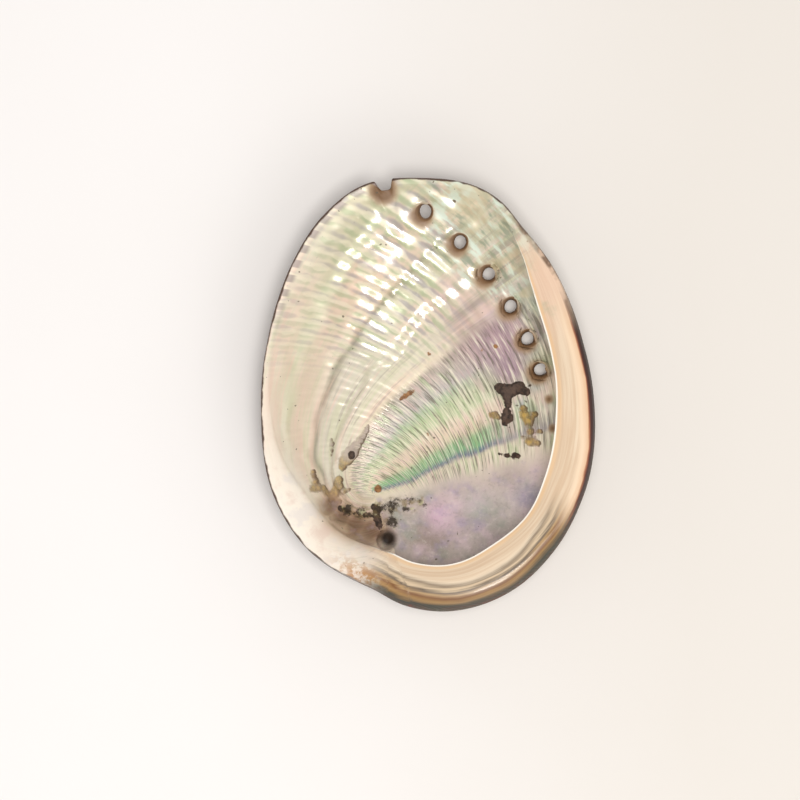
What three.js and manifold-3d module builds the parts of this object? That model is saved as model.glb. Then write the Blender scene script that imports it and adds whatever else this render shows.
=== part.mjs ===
// An abalone shell lying on its back with its mouth up, in millimetres.
// The origin is the middle of the worn flat on the crown of the back, where the shell rests.
// +Z points up out of the mouth, +Y to the front end and +X to the side of the columella shelf.
//
// The shell is one piece. Ribs fan out from the crown at every angle round the mouth. Each rib
// climbs the outside of the back to its widest point, rolls over the crest, crosses the shelf (or,
// at the outer lip, the narrow bevel) to its inner edge, and goes down the inside to the floor.
// The spire, the growth waves and the raised pore rims are then laid on the outside as relief, and
// the open pores are cut through. The pores follow the spiral that the shell grew along.

import * as THREE from "three";
import { mergeVertices } from "three/addons/utils/BufferGeometryUtils.js";
import Module from "manifold-3d";

// Driving dimensions of the ribs. A list of [degrees, value] pairs gives a value round the mouth,
// in degrees from +X towards +Y.
const RIM_RADIUS = [
  [0, 51.7], [25, 53.6], [42, 58.5], [57, 65.3], [68, 71.2], [76, 77.6], [84, 81.4], [96, 83.6],
  [109, 85.6], [121, 82.0], [134, 75.8], [146, 70.6], [160, 66.4], [180, 63.8], [205, 65.2],
  [224, 65.7], [246, 64.2], [258, 66.5], [272, 67.0], [290, 64.4], [310, 59.3], [330, 54.9],
];
const CREST_HEIGHT = [
  [0, 38], [60, 36], [95, 33.5], [135, 33.5], [180, 34.5], [220, 36], [260, 37.5], [310, 38.5],
];
const CREST_INSET = [
  [0, 1.6], [30, 1.6], [69, 0.4], [150, 0.3], [225, 0.6], [246, 2.2], [260, 6.8], [280, 7.4],
  [304, 6.3], [330, 3.3],
];
const WIDEST_DROP = [
  [0, 8], [45, 6], [75, 1.2], [150, 0.9], [215, 1.2], [240, 5], [262, 13], [290, 14], [330, 10],
];
const EDGE_INSET = [
  [0, 13.8], [25, 12.4], [49, 12.3], [58, 10.6], [65, 7.1], [74, 3.4], [88, 2.2], [150, 2.2],
  [172, 4.5], [190, 9.5], [208, 12.4], [230, 12.0], [247, 14.2], [258, 15.6], [275, 16.9],
  [291, 17.9], [310, 15.8], [335, 15.2],
];
const EDGE_SAG = [
  [0, 3.4], [50, 3], [75, 0.9], [150, 0.8], [175, 1.2], [205, 4], [235, 5], [260, 4.4], [310, 4],
];
const OUTER_SLOPE = [
  [0, 88], [50, 78], [85, 52], [120, 46], [170, 50], [215, 62], [245, 82], [280, 90], [330, 90],
];
const FLOOR_REACH = [[0, 0.54], [90, 0.46], [180, 0.5], [270, 0.72]]; // level share of the radius
const WALL_THICKNESS = [
  [0, 4.2], [50, 3.8], [80, 2.4], [150, 2.4], [190, 3.2], [230, 4], [270, 4.4],
];
const SHELF_CURL = [
  [0, 5.5], [55, 5.5], [75, 4], [150, 3], [180, 2.2], [215, 2], [235, 2.6], [250, 5], [300, 5.5],
];

const BACK_THICKNESS = 3.0; // between the resting flat and the floor of the bowl
const WORN_DEPTH = 1.0; // how much of the crown is rubbed away to the flat
const SLOPE_REACH = 0.7; // share of a rib's height over which it keeps its slope at the lip
const ROLL_EASE = { side: 0.55, top: 0.45 }; // roundness of the roll over the crest
const SHELF_EASE = { crest: 0.4, edge: 0.35, sag: 0.5 }; // roundness of the shelf

// The growth spiral, seen from above: every later stage of the shell is an earlier one, larger by
// SPIRAL_RATE for each radian turned about the spire.
const SPIRE = new THREE.Vector2(-20, -42.2);
const SPIRAL_RATE = 0.58;
const SPIRE_COIL = { rate: 0.32, reach: 15, height: 5, groove: 2, sharpness: 6, middle: 4 };
const SPIRE_PIT = { radius: 3.2, depth: 2.2, fade: 0.05 };

// Breathing pores, from the unclosed one at the lip back along the spiral.
const LIP_NOTCH = new THREE.Vector2(-21.3, 81.2);
const PORE_TURN = THREE.MathUtils.degToRad(7.1);
const OPEN_PORES = 6;
const SEALED_PORES = 9;
const PORE_RADIUS = 2.2;
const PORE_FLARE = 0.5; // how much wider a pore is inside than outside
const PORE_RIM = { radius: 4.6, height: 1.9 };
const PORE_SIDES = 14;
const PORE_CLEARANCE = { above: 8, below: 2 }; // how far a pore's cut runs past the wall
const INSIDE_BULGE = 0.85; // share of an inner rib up to which its radius only grows

// Growth waves fan out from a point beside the spire.
const GROWTH_FAN = new THREE.Vector2(-25.5, -25.3);
const GROWTH = {
  axis: THREE.MathUtils.degToRad(20),
  bend: 0.65,
  distance: 34.5,
  period: 0.42,
  height: 0.55,
};

const RINGS = 23; // grid rings between the crown and the inner edge, on each side of the wall
const SIDE_SHARE = 0.68; // share of the outer rings on the back
const ROLL_SHARE = 0.12; // share of the outer rings on the roll over the crest
const RELIEF_FADE = 0.1; // share over which the outer relief dies away below the lip
const SEARCH_STEPS = 24;
const WELD = 1e-4;

// A value round the mouth as a closed cubic through its [degrees, value] pairs.
function around(pairs) {
  const count = pairs.length;
  const pair = (index) => {
    const turn = Math.floor(index / count);
    const [degrees, value] = pairs[index - turn * count];
    return [degrees + 360 * turn, value];
  };
  const slope = (index) => {
    const [before, low] = pair(index - 1);
    const [after, high] = pair(index + 1);
    return (high - low) / (after - before);
  };
  return (degrees) => {
    const wrapped = THREE.MathUtils.euclideanModulo(degrees - pairs[0][0], 360) + pairs[0][0];
    let index = count - 1;
    while (pair(index)[0] > wrapped) index -= 1;
    const [start, from] = pair(index);
    const [end, to] = pair(index + 1);
    const span = end - start;
    const t = (wrapped - start) / span;
    const [t2, t3] = [t * t, t * t * t];
    return (
      from * (2 * t3 - 3 * t2 + 1) +
      slope(index) * span * (t3 - 2 * t2 + t) +
      to * (3 * t2 - 2 * t3) +
      slope(index + 1) * span * (t3 - t2)
    );
  };
}

const rimRadius = around(RIM_RADIUS);
const crestHeight = around(CREST_HEIGHT);
const crestInset = around(CREST_INSET);
const widestDrop = around(WIDEST_DROP);
const edgeInset = around(EDGE_INSET);
const edgeSag = around(EDGE_SAG);
const outerSlope = around(OUTER_SLOPE);
const floorReach = around(FLOOR_REACH);
const wallThickness = around(WALL_THICKNESS);
const shelfCurl = around(SHELF_CURL);

// The rib at one angle as three curves in its own plane: x is the radius and y the height.
function rib(degrees) {
  const { lerp, degToRad } = THREE.MathUtils;
  const widest = new THREE.Vector2(rimRadius(degrees), crestHeight(degrees) - widestDrop(degrees));
  const crest = new THREE.Vector2(widest.x - crestInset(degrees), crestHeight(degrees));
  const edge = new THREE.Vector2(widest.x - edgeInset(degrees), crest.y - edgeSag(degrees));
  const reach = SLOPE_REACH * (widest.y + WORN_DEPTH);
  const angle = degToRad(outerSlope(degrees));
  return {
    edge,
    back: new THREE.CubicBezierCurve(
      new THREE.Vector2(0, -WORN_DEPTH),
      new THREE.Vector2(floorReach(degrees) * widest.x, -WORN_DEPTH),
      new THREE.Vector2(widest.x - reach * Math.cos(angle), widest.y - reach * Math.sin(angle)),
      widest,
    ),
    roll: new THREE.CubicBezierCurve(
      widest,
      new THREE.Vector2(widest.x, lerp(widest.y, crest.y, ROLL_EASE.side)),
      new THREE.Vector2(lerp(crest.x, widest.x, ROLL_EASE.top), crest.y),
      crest,
    ),
    shelf: new THREE.CubicBezierCurve(
      crest,
      new THREE.Vector2(lerp(crest.x, edge.x, SHELF_EASE.crest), crest.y),
      new THREE.Vector2(
        lerp(edge.x, crest.x, SHELF_EASE.edge),
        lerp(edge.y, crest.y, SHELF_EASE.sag),
      ),
      edge,
    ),
  };
}

// A point of the outer surface, from the crown at share 0 to the inner edge of the shelf at 1.
function outerPoint(share, degrees) {
  const { back, roll, shelf } = rib(degrees);
  const beyondSide = share - SIDE_SHARE;
  if (beyondSide <= 0) return back.getPoint(share / SIDE_SHARE);
  if (beyondSide <= ROLL_SHARE) return roll.getPoint(beyondSide / ROLL_SHARE);
  return shelf.getPoint((beyondSide - ROLL_SHARE) / (1 - SIDE_SHARE - ROLL_SHARE));
}

// A point of the inner surface, from the middle of the floor at share 0 to the same edge at 1. It
// keeps the wall's thickness from the back, and curls over to the edge near its top.
function innerPoint(share, degrees) {
  const { edge, back } = rib(degrees);
  const wall = wallThickness(degrees);
  const inset = (along, thickness) => {
    const tangent = back.getTangent(along);
    const inward = new THREE.Vector2(-tangent.y, tangent.x);
    return back.getPoint(along).addScaledVector(inward, thickness);
  };
  const curl = edge.clone().sub(inset(1, wall));
  const thickness = THREE.MathUtils.lerp(BACK_THICKNESS + WORN_DEPTH, wall, Math.sqrt(share));
  return inset(share, thickness).addScaledVector(curl, share ** shelfCurl(degrees));
}

// Share and angle of a square grid's corner: its square rings become the rings of the shell.
function ringPlace(column, row) {
  const ring = Math.max(Math.abs(column), Math.abs(row));
  if (ring === 0) return { share: 0, degrees: 0 };
  const onSide = Math.abs(column) >= Math.abs(row);
  const along = onSide ? row / column : -column / row;
  const middle = onSide ? (column > 0 ? 0 : 180) : row > 0 ? 90 : 270;
  return { share: ring / RINGS, degrees: middle + 45 * along };
}

// Pore number index along the spiral, counted from the notch in the lip.
function poreCentre(index) {
  const turned = LIP_NOTCH.clone().rotateAround(SPIRE, -PORE_TURN * index);
  return turned.lerp(SPIRE, 1 - Math.exp(-SPIRAL_RATE * PORE_TURN * index));
}

const poreCount = OPEN_PORES + SEALED_PORES;
const pores = Array.from({ length: poreCount }, (_, index) => poreCentre(index + 1));
const bump = (distance, radius) => Math.exp(-((distance / radius) ** 2));

// Height of the coil of the spire: a low dome with a groove that winds into its middle.
function spireRelief(place) {
  const { rate, reach, height, groove, sharpness, middle } = SPIRE_COIL;
  const offset = place.clone().sub(SPIRE);
  const distance = Math.max(offset.length(), WELD);
  const halfTurns = (offset.angle() - Math.log(distance) / rate) / 2;
  const depth = groove * Math.cos(halfTurns) ** sharpness * Math.min(1, distance / middle);
  return bump(distance, reach) * (height - depth);
}

// Height of the growth waves, which bend away from the fan's axis as they leave its point.
function growthRelief(place) {
  const { axis, bend, distance, period, height } = GROWTH;
  const offset = place.clone().sub(GROWTH_FAN);
  const turn = 2 * Math.PI;
  const lean = THREE.MathUtils.euclideanModulo(offset.angle() - axis + Math.PI, turn) - Math.PI;
  const stage = lean * (offset.length() / distance) ** bend;
  return height * Math.cos((turn * stage) / period) * Math.min(1, offset.length() / distance);
}

// Relief of the outside at a place seen from above, fading out where the back meets the lip.
function outerRelief(place, share) {
  const fade = THREE.MathUtils.clamp((SIDE_SHARE - share) / RELIEF_FADE, 0, 1);
  const nearest = Math.min(...pores.map((pore) => place.distanceTo(pore)));
  const rims = PORE_RIM.height * bump(nearest, PORE_RIM.radius);
  return fade * (spireRelief(place) + growthRelief(place) + rims);
}

// Relief of the inside: the pit where the bowl runs on into the spire.
function innerRelief(place, share) {
  const fade = THREE.MathUtils.clamp((1 - share) / SPIRE_PIT.fade, 0, 1);
  return -SPIRE_PIT.depth * fade * bump(place.distanceTo(SPIRE), SPIRE_PIT.radius);
}

// One side of the wall as a closed-grid sheet, with its relief laid on along its own normals.
function sheet(pointAt, relief, facesUp) {
  const width = 2 * RINGS + 1;
  const positions = [];
  const shares = [];
  for (let row = -RINGS; row <= RINGS; row += 1) {
    for (let column = -RINGS; column <= RINGS; column += 1) {
      const { share, degrees } = ringPlace(column, row);
      const { x: radius, y: height } = pointAt(share, degrees);
      const angle = THREE.MathUtils.degToRad(degrees);
      positions.push(radius * Math.cos(angle), radius * Math.sin(angle), height);
      shares.push(share);
    }
  }
  const triangles = [];
  for (let row = 0; row < width - 1; row += 1) {
    for (let column = 0; column < width - 1; column += 1) {
      const a = row * width + column;
      const [b, c, d] = [a + 1, a + width + 1, a + width];
      const rising = column < RINGS === row < RINGS;
      const pair = rising ? [a, b, c, a, c, d] : [a, b, d, b, c, d];
      triangles.push(...(facesUp ? pair : pair.reverse()));
    }
  }
  const geometry = new THREE.BufferGeometry();
  geometry.setAttribute("position", new THREE.Float32BufferAttribute(positions, 3));
  geometry.setIndex(triangles);
  geometry.computeVertexNormals();
  const { position, normal } = geometry.attributes;
  const place = new THREE.Vector3();
  const away = new THREE.Vector3();
  for (let index = 0; index < position.count; index += 1) {
    place.fromBufferAttribute(position, index);
    away.fromBufferAttribute(normal, index);
    place.addScaledVector(away, relief(new THREE.Vector2(place.x, place.y), shares[index]));
    position.setXYZ(index, place.x, place.y, Math.max(place.z, 0));
  }
  geometry.deleteAttribute("normal");
  return geometry.toNonIndexed();
}

// The two sheets joined at the inner edge into one closed wall.
function wallGeometry() {
  const inner = sheet(innerPoint, innerRelief, true);
  const outer = sheet(outerPoint, outerRelief, false);
  const both = new THREE.BufferGeometry();
  const positions = [...inner.attributes.position.array, ...outer.attributes.position.array];
  both.setAttribute("position", new THREE.Float32BufferAttribute(positions, 3));
  return mergeVertices(both, WELD);
}

// Height of the inner surface on the rib under a place seen from above.
function insideHeight(place) {
  const degrees = THREE.MathUtils.radToDeg(place.angle());
  let [low, high] = [0, INSIDE_BULGE];
  for (let step = 0; step < SEARCH_STEPS; step += 1) {
    const middle = (low + high) / 2;
    if (innerPoint(middle, degrees).x < place.length()) low = middle;
    else high = middle;
  }
  return innerPoint(low, degrees).y;
}

// A cutter for one pore: an upright plug, wider at its inner end.
function poreCutter(centre) {
  const top = insideHeight(centre) + PORE_CLEARANCE.above;
  const bottom = -PORE_CLEARANCE.below;
  const wide = PORE_RADIUS + PORE_FLARE;
  const plug = new THREE.CylinderGeometry(wide, PORE_RADIUS, top - bottom, PORE_SIDES);
  plug.rotateX(Math.PI / 2);
  plug.translate(centre.x, centre.y, (top + bottom) / 2);
  plug.deleteAttribute("normal");
  plug.deleteAttribute("uv");
  return mergeVertices(plug, WELD);
}

const wasm = await Module();
wasm.setup();

function solidOf(geometry) {
  return new wasm.Manifold(
    new wasm.Mesh({
      numProp: 3,
      vertProperties: geometry.attributes.position.array,
      triVerts: new Uint32Array(geometry.index.array),
    }),
  );
}

function geometryOf(solid) {
  const { vertProperties, triVerts } = solid.getMesh();
  const geometry = new THREE.BufferGeometry();
  geometry.setAttribute("position", new THREE.BufferAttribute(vertProperties, 3));
  geometry.setIndex(new THREE.BufferAttribute(triVerts, 1));
  return geometry;
}

// The whole shell: the wall with its open pores and the notch in the lip cut through.
function shellGeometry() {
  const cutters = [LIP_NOTCH, ...pores.slice(0, OPEN_PORES)].map(poreCutter);
  const wall = solidOf(wallGeometry());
  return geometryOf(cutters.reduce((solid, cutter) => solid.subtract(solidOf(cutter)), wall));
}

const nacre = new THREE.MeshStandardMaterial({ color: 0xd8ccb8, roughness: 0.35, metalness: 0.1 });
const shell = new THREE.Mesh(shellGeometry(), nacre);
shell.name = "shell";

const abalone = new THREE.Group();
abalone.add(shell);

export default abalone;
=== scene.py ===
"""An abalone shell lying mouth up on a pale table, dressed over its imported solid.

The shell is one closed surface. Its inner sheet runs from the floor of the bowl to the inner edge of
the shelf, and its outer sheet from the crown of the back, over the lip, to the same edge. Both are
square grids whose square rings become rings round the crown. Lengths are in millimetres until the
mesh is made, a place seen from above is the complex number x + iy, and a point of a rib is the
complex number radius + i * height.
"""

import bpy
import numpy as np
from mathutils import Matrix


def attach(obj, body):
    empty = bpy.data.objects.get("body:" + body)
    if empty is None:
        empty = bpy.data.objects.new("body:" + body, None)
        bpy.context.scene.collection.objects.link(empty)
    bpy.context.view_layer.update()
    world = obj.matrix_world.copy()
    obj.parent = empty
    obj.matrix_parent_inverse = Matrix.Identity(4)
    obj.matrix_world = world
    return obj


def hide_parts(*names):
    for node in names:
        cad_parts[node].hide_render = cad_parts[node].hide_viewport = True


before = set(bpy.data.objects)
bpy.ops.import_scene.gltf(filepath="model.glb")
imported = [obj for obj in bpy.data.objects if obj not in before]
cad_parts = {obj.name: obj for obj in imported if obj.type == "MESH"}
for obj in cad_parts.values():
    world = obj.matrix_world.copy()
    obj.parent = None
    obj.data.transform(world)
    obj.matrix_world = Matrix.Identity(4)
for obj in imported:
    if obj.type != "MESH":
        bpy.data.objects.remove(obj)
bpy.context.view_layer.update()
METRES = 0.001

# Driving dimensions of the ribs. A list of (degrees, value) pairs gives a value round the mouth, in
# degrees from +X towards +Y.
RIM_RADIUS = [
    (0, 51.7), (25, 53.6), (42, 58.5), (57, 65.3), (68, 71.2), (76, 77.6), (84, 81.4), (96, 83.6),
    (109, 85.6), (121, 82.0), (134, 75.8), (146, 70.6), (160, 66.4), (180, 63.8), (205, 65.2),
    (224, 65.7), (246, 64.2), (258, 66.5), (272, 67.0), (290, 64.4), (310, 59.3), (330, 54.9),
]
CREST_HEIGHT = [
    (0, 38), (60, 36), (95, 33.5), (135, 33.5), (180, 34.5), (220, 36), (260, 37.5), (310, 38.5),
]
CREST_INSET = [
    (0, 1.6), (30, 1.6), (69, 0.4), (150, 0.3), (225, 0.6), (246, 2.2), (260, 6.8), (280, 7.4),
    (304, 6.3), (330, 3.3),
]
WIDEST_DROP = [
    (0, 8), (45, 6), (75, 1.2), (150, 0.9), (215, 1.2), (240, 5), (262, 13), (290, 14), (330, 10),
]
EDGE_INSET = [
    (0, 13.8), (25, 12.4), (49, 12.3), (58, 10.6), (65, 7.1), (74, 3.4), (88, 2.2), (150, 2.2),
    (172, 2.8), (190, 5.6), (208, 10.4), (230, 12.0), (247, 14.2), (258, 15.6), (275, 16.9),
    (291, 17.9), (310, 15.8), (335, 15.2),
]
EDGE_SAG = [
    (0, 3.4), (50, 3), (75, 0.9), (150, 0.8), (175, 1.2), (205, 4.6), (232, 6.5), (260, 4.4), (310, 4),
]
OUTER_SLOPE = [
    (0, 88), (50, 78), (85, 52), (120, 46), (170, 50), (215, 62), (245, 82), (280, 90), (330, 90),
]
FLOOR_REACH = [(0, 0.54), (90, 0.46), (180, 0.5), (270, 0.72)]
WALL_THICKNESS = [(0, 4.2), (50, 3.8), (80, 2.4), (150, 2.4), (190, 3.2), (230, 4), (270, 4.4)]
SHELF_CURL = [
    (0, 5.5), (55, 5.5), (75, 4), (150, 3), (180, 2.2), (215, 2), (235, 2.6), (250, 5), (300, 5.5),
]
BACK_THICKNESS = 3.0
WORN_DEPTH = 1.0
SLOPE_REACH = 0.7
ROLL_EASE = (0.55, 0.45)
SHELF_EASE = (0.4, 0.5)
EDGE_EASE = [
    (0, 0.35), (60, 0.35), (120, 0.3), (165, 0.2), (190, 0.1), (232, 0.1), (255, 0.35), (300, 0.35),
]

# The growth spiral about the spire, and the places that lie on it.
SPIRE = complex(-20, -42.2)
SPIRAL_RATE = 0.58
CORDS_PER_TURN = 58
LIP_NOTCH = complex(-21.3, 81.2)
NOTCH_HALO = complex(-21.6, 79.0)
PORE_TURN = np.radians(7.1)
OPEN_PORES = 6
SEALED_PORES = 9
PORE_RADIUS = 1.95
FUNNEL_RADIUS = 3.4
FUNNEL_SHIFT = complex(-0.5, -0.7)
OUTLET_SHIFT = 1.0
PORE_RIM = {"radius": 4.6, "height": 1.9}
NOTCH = {"cut": 0.07, "half_width": 1.75, "squareness": 6, "crowding": 0.6, "crowd_width": 7}
SPIRE_COIL = {"rate": 0.32, "reach": 15, "height": 5, "groove": 2.2, "sharpness": 6, "middle": 4}
SPIRE_PIT = {"radius": 3.0, "depth": 4.6, "squareness": 4}

# Growth lines fan out from a point beside the spire. Their stage counts degrees of growth.
GROWTH_FAN = complex(-25.5, -25.3)
GROWTH = {"axis": 20, "bend": 0.65, "distance": 34.5}

# The two grids.
RINGS = 110
SIDE_SHARE = 0.68
ROLL_SHARE = 0.12
INSIDE_BULGE = 0.88
PORE_HALF = 4
PORE_REACH = 7
WALL_RINGS = 6

# Marks inside the bowl, as overlapping discs: x, y and radius. Dark decay, brown film and rust.
DECAY = [
    (18.9, 11.4, 1.1), (19.8, 9.8, 1.2), (21.2, 10.3, 1.5), (22.9, 9.6, 1.6), (24.8, 10.8, 1.5),
    (26.2, 10.9, 1.5), (27.5, 9.7, 1.1), (28.9, 9.0, 0.7), (29.6, 11.4, 0.4), (30.6, 14.0, 0.35),
    (21.9, 7.8, 1.3), (22.0, 6.0, 0.9), (21.9, 4.4, 0.8), (21.4, 2.4, 1.2), (21.5, 0.6, 1.1),
    (21.0, -0.8, 0.5), (20.9, -2.2, 0.3), (23.0, 0.6, 0.45), (23.1, -0.8, 0.35), (-32.7, -12.9, 1.3),
    (-25.0, -30.9, 0.7), (-23.9, -31.8, 1.2), (-24.5, -33.8, 0.9),
    (-23.5, -35.6, 1.1), (-22.9, -37.6, 0.6), (-22.5, -39.6, 0.4), (-36.8, -31.0, 0.5),
    (-35.4, -31.7, 0.5),
    (-33.8, -32.4, 0.3), (-31.9, -33.2, 0.3), (-30.0, -33.8, 0.3), (-28.2, -34.1, 0.3),
    (-26.4, -34.2, 0.4), (19.1, -12.5, 0.5),
    (21.8, -13.0, 0.5), (24.2, -13.2, 1.0), (25.4, -13.4, 0.7),
]
FILM = [
    (-27.0, -2.6, 0.3), (-27.4, -4.2, 0.6), (-28.4, -5.8, 0.9), (-29.6, -7.6, 1.2), (-31.0, -9.6, 1.7),
    (-32.8, -12.2, 2.4), (-34.8, -14.4, 2.2), (-36.4, -17.0, 1.3), (-39.9, -7.4, 0.4),
    (-39.5, -9.2, 0.7), (-39.8, -11.4, 0.5), (-40.0, -13.0, 0.25), (-46.2, -18.4, 0.8),
    (-46.0, -20.2, 0.9), (-45.4, -22.2, 0.9), (-46.0, -24.6, 1.0), (-44.2, -24.4, 1.0),
    (-42.4, -24.2, 0.8), (-41.4, -26.4, 0.9), (-40.0, -28.4, 1.0), (-37.2, -21.4, 1.3),
    (-37.6, -23.8, 1.6), (-38.8, -26.2, 1.3), (-33.6, -24.8, 0.5), (-35.2, -25.8, 0.6),
    (-37.0, -29.0, 1.0), (16.0, 1.4, 1.0), (17.6, 1.0, 0.9), (18.6, 0.2, 0.6), (27.2, 3.4, 1.2),
    (27.8, 1.0, 1.6), (29.4, -1.2, 1.8), (31.2, 1.4, 1.1), (29.8, -4.8, 1.2), (29.6, -8.4, 1.6),
    (32.4, -8.6, 1.1), (27.0, -6.6, 0.6), (33.4, -4.6, 0.8),
]
RUST = [
    (-11.0, 9.6, 0.45), (-12.4, 9.0, 0.6), (-14.1, 7.8, 0.6), (-15.5, 6.6, 0.45), (-6.0, -5.6, 0.5),
    (-5.6, 22.7, 0.6), (8.0, 29.9, 0.3), (17.8, 25.2, 0.5), (13.0, 24.0, 0.5),
    (-23.7, -24.2, 0.7), (-23.6, -25.2, 0.9),
]
# Where black and olive grime gathers round the spire: x, y and radius.
GRIME = [
    (-13.0, -30.5, 4.5), (-18.0, -31.0, 4.5), (-22.5, -31.5, 4.0), (-29.0, -33.0, 3.6),
    (-34.0, -32.0, 3.2), (-19.0, -36.5, 3.6), (-8.5, -29.0, 2.6),
]
# Painted shade on the wall below the spire: brown, and darkest near the pit. Each entry is x, y and
# radius.
WALL_SHADE = [(-40.0, -30.5, 4.2), (-36.0, -34.2, 4.8), (-31.0, -36.8, 5.5), (-26.0, -39.2, 5.5)]


def around(pairs, degrees):
    """A value round the mouth: the closed cubic through its (degrees, value) pairs."""
    knots = np.array(pairs, float)
    angle = np.concatenate([knots[-2:, 0] - 360, knots[:, 0], knots[:3, 0] + 360])
    value = np.concatenate([knots[-2:, 1], knots[:, 1], knots[:3, 1]])
    slope = np.zeros_like(value)
    slope[1:-1] = (value[2:] - value[:-2]) / (angle[2:] - angle[:-2])
    wrapped = (degrees - knots[0, 0]) % 360 + knots[0, 0]
    start = np.searchsorted(angle, wrapped, side="right") - 1
    span = angle[start + 1] - angle[start]
    t = (wrapped - angle[start]) / span
    return (
        value[start] * (2 * t**3 - 3 * t**2 + 1)
        + slope[start] * span * (t**3 - 2 * t**2 + t)
        + value[start + 1] * (3 * t**2 - 2 * t**3)
        + slope[start + 1] * span * (t**3 - t**2)
    )


def rise(value, low, high):
    """0 below low, 1 above high, and the smooth cubic step between them."""
    t = np.clip((value - low) / (high - low), 0, 1)
    return t * t * (3 - 2 * t)


def bell(distance, radius):
    """1 at no distance, falling off as a Gaussian of this radius."""
    return np.exp(-((distance / radius) ** 2))


def turn_between(degrees, middle):
    """Degrees from middle, the short way round."""
    return (degrees - middle + 180) % 360 - 180


def bezier(points, t):
    """The cubic Bezier curve through complex control points."""
    a, b, c, d = points
    s = 1 - t
    return s**3 * a + 3 * s * s * t * b + 3 * s * t * t * c + t**3 * d


def bezier_direction(points, t):
    """Unit tangent of the cubic Bezier curve."""
    a, b, c, d = points
    s = 1 - t
    tangent = s * s * (b - a) + 2 * s * t * (c - b) + t * t * (d - c)
    return tangent / np.abs(tangent)


def rib(degrees):
    """The back's curve, the widest point, the crest and the edge of the ribs at these angles."""
    height = around(CREST_HEIGHT, degrees)
    radius = around(RIM_RADIUS, degrees)
    widest = radius + 1j * (height - around(WIDEST_DROP, degrees))
    crest = radius - around(CREST_INSET, degrees) + 1j * height
    edge = radius - around(EDGE_INSET, degrees) + 1j * (height - around(EDGE_SAG, degrees))
    lean = np.exp(1j * np.radians(around(OUTER_SLOPE, degrees)))
    crown = -1j * WORN_DEPTH
    shoulder = widest - SLOPE_REACH * (widest.imag + WORN_DEPTH) * lean
    back = (crown, crown + around(FLOOR_REACH, degrees) * radius, shoulder, widest)
    return back, widest, crest, edge


def notch_cut(degrees):
    """Share that the unclosed pore cuts off a rib: a flat-topped bell about the notch's bearing."""
    off = turn_between(degrees, np.degrees(np.angle(LIP_NOTCH)))
    return NOTCH["cut"] * np.exp(-(np.abs(off / NOTCH["half_width"]) ** NOTCH["squareness"]))


def outer_point(share, degrees):
    """The outer sheet: up the back, round the roll over the crest, and along the shelf to its edge."""
    back, widest, crest, edge = rib(degrees)
    kept = 1 - notch_cut(degrees)
    end = bezier(back, kept)
    crest, edge = crest + end - widest, edge + end - widest
    side = bezier(back, kept * np.clip(share / SIDE_SHARE, 0, 1))
    over = np.clip((share - SIDE_SHARE) / ROLL_SHARE, 0, 1)
    up = end + 1j * ROLL_EASE[0] * (crest - end).imag
    roll = bezier((end, up, crest + ROLL_EASE[1] * (end - crest).real, crest), over)
    along = np.clip((share - SIDE_SHARE - ROLL_SHARE) / (1 - SIDE_SHARE - ROLL_SHARE), 0, 1)
    fall = crest - edge
    dip = edge + around(EDGE_EASE, degrees) * fall.real + 1j * SHELF_EASE[1] * fall.imag
    shelf = bezier((crest, crest - SHELF_EASE[0] * fall.real, dip, edge), along)
    return np.where(over <= 0, side, np.where(along <= 0, roll, shelf))


def inner_point(share, degrees):
    """The inner sheet: the back moved in by the wall's thickness, curling over to the shelf's edge.

    The curl grows as a power of the share, so it stays near the top of the wall.
    """
    back, widest, _, edge = rib(degrees)
    wall = around(WALL_THICKNESS, degrees)
    kept = 1 - notch_cut(degrees)

    def inside(along):
        thickness = BACK_THICKNESS + WORN_DEPTH + (wall - BACK_THICKNESS - WORN_DEPTH) * np.sqrt(along)
        inset = bezier(back, along) + 1j * bezier_direction(back, along) * thickness
        top = widest + 1j * bezier_direction(back, np.ones_like(along)) * wall
        return inset + (edge - top) * along ** around(SHELF_CURL, degrees)

    mend = edge + bezier(back, kept) - widest - inside(kept)
    return inside(share * kept) + mend * share**8


def square_rings():
    """Share and bearing of every corner of a square grid whose square rings go round the crown."""
    steps = np.arange(-RINGS, RINGS + 1)
    column, row = np.meshgrid(steps, steps)
    on_side = np.abs(column) >= np.abs(row)
    lead = np.where(on_side, column, row)
    other = np.where(on_side, row, -column)
    quarter = np.where(on_side, np.where(column > 0, 0, 180), np.where(row > 0, 90, 270))
    degrees = quarter + 45.0 * other / np.where(lead == 0, 1, lead)
    off = turn_between(degrees, np.degrees(np.angle(LIP_NOTCH)))
    degrees = degrees - NOTCH["crowding"] * off * bell(off, NOTCH["crowd_width"])
    return np.abs(lead) / RINGS, degrees % 360


def pore_centres(first, last):
    """Pores first to last, counted from the notch: each is turned and drawn in about the spire."""
    turned = np.arange(first, last + 1) * PORE_TURN
    return SPIRE + (LIP_NOTCH - SPIRE) * np.exp(-turned * (SPIRAL_RATE + 1j))


def share_at(point, radius, degrees, top):
    """Share at which the ribs reach this radius, by halving the span from 0 to top."""
    low, high = np.zeros_like(radius), np.full_like(radius, top)
    for _ in range(30):
        middle = (low + high) / 2
        short = point(middle, degrees).real < radius
        low, high = np.where(short, middle, low), np.where(short, high, middle)
    return low


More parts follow.
